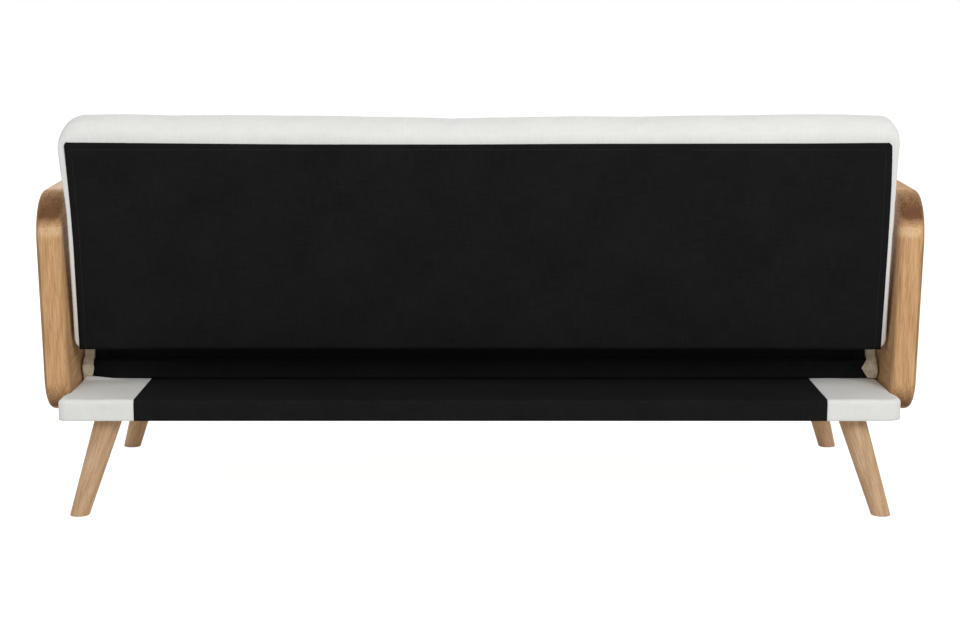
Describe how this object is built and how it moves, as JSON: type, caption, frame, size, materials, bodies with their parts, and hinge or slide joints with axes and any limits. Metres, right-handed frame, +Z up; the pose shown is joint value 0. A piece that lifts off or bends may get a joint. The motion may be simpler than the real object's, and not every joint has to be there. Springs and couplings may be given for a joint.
{
  "type": "click clack sofa bed",
  "caption": "Cloth-covered sofa bed with open timber arm frames and splayed turned legs, whose back turns on ratchet hinges and lies down level with the seat.",
  "frame": {"origin": "on the floor, at the middle of the overall width and depth", "axes": "+X along the width, to the left of someone sitting on it; +Y to the rear, so the front faces -Y; +Z up"},
  "size_m": [1.934, 0.82, 0.8619],
  "materials": {
    "cream_cloth": "matte",
    "black_cloth": "matte",
    "arm_timber": "satin",
    "leg_timber": "satin",
    "frame_timber": "matte",
    "plywood": "matte",
    "steel": "satin"
  },
  "bodies": {
    "base": {"base_deck": "plywood", "base_end_board_left": "frame_timber", "base_end_board_right": "frame_timber", "base_rear_rail": "frame_timber", "base_front_rail": "frame_timber", "base_centre_rail": "frame_timber", "platform_cover_black": "black_cloth", "platform_cover_cream_left": "cream_cloth", "platform_cover_cream_right": "cream_cloth", "base_cover_front": "cream_cloth", "leg_rear_left": "leg_timber", "leg_rear_right": "leg_timber", "leg_front_left": "leg_timber", "leg_front_right": "leg_timber", "leg_plate_rear_left": "steel", "leg_plate_rear_right": "steel", "leg_plate_front_left": "steel", "leg_plate_front_right": "steel", "leg_bolt_rear_left": "steel", "leg_bolt_rear_right": "steel", "leg_bolt_front_left": "steel", "leg_bolt_front_right": "steel", "arm_low_rail_left": "arm_timber", "arm_low_rail_right": "arm_timber", "arm_top_rail_left": "arm_timber", "arm_top_rail_right": "arm_timber", "arm_post_rear_left": "arm_timber", "arm_post_rear_right": "arm_timber", "arm_post_front_left": "arm_timber", "arm_post_front_right": "arm_timber", "arm_bolt_rear_left": "steel", "arm_bolt_rear_right": "steel", "arm_bolt_front_left": "steel", "arm_bolt_front_right": "steel", "seat_side_rail_left": "frame_timber", "seat_side_rail_right": "frame_timber", "seat_rear_rail": "frame_timber", "seat_front_rail": "frame_timber", "seat_panel": "plywood", "seat_cushion": "cream_cloth", "seat_rear_cloth": "black_cloth", "seat_corner_tuck_left": "cream_cloth", "seat_corner_tuck_right": "cream_cloth", "hinge_seat_plate_left": "steel", "hinge_seat_plate_right": "steel", "hinge_pin_left": "steel", "hinge_pin_right": "steel"},
    "backrest": {"back_stile_left": "frame_timber", "back_stile_right": "frame_timber", "back_low_rail": "frame_timber", "back_top_rail": "frame_timber", "back_centre_stile": "frame_timber", "back_panel": "plywood", "back_rear_cloth": "black_cloth", "back_cushion": "cream_cloth", "ratchet_plate_left": "steel", "ratchet_plate_right": "steel"},
    "pawl_left": {"hinge_pawl_left": "steel"},
    "pawl_right": {"hinge_pawl_right": "steel"}
  },
  "joints": [
    {"name": "back_recline", "type": "hinge", "parent": "base", "child": "backrest", "pos_m": [0, 0.1763, 0.3976], "axis": [1, 0, 0], "range_deg": [-78.67, 17]},
    {"name": "pawl_swing_left", "type": "hinge", "parent": "base", "child": "pawl_left", "pos_m": [0.8532, 0.121, 0.35], "axis": [1, 0, 0], "range_deg": [-15, 0], "stiffness_Nm_per_rad": 0.3, "springref_deg": 11.46},
    {"name": "pawl_swing_right", "type": "hinge", "parent": "base", "child": "pawl_right", "pos_m": [-0.8532, 0.121, 0.35], "axis": [1, 0, 0], "range_deg": [-15, 0], "stiffness_Nm_per_rad": 0.3, "springref_deg": 11.46}
  ]
}
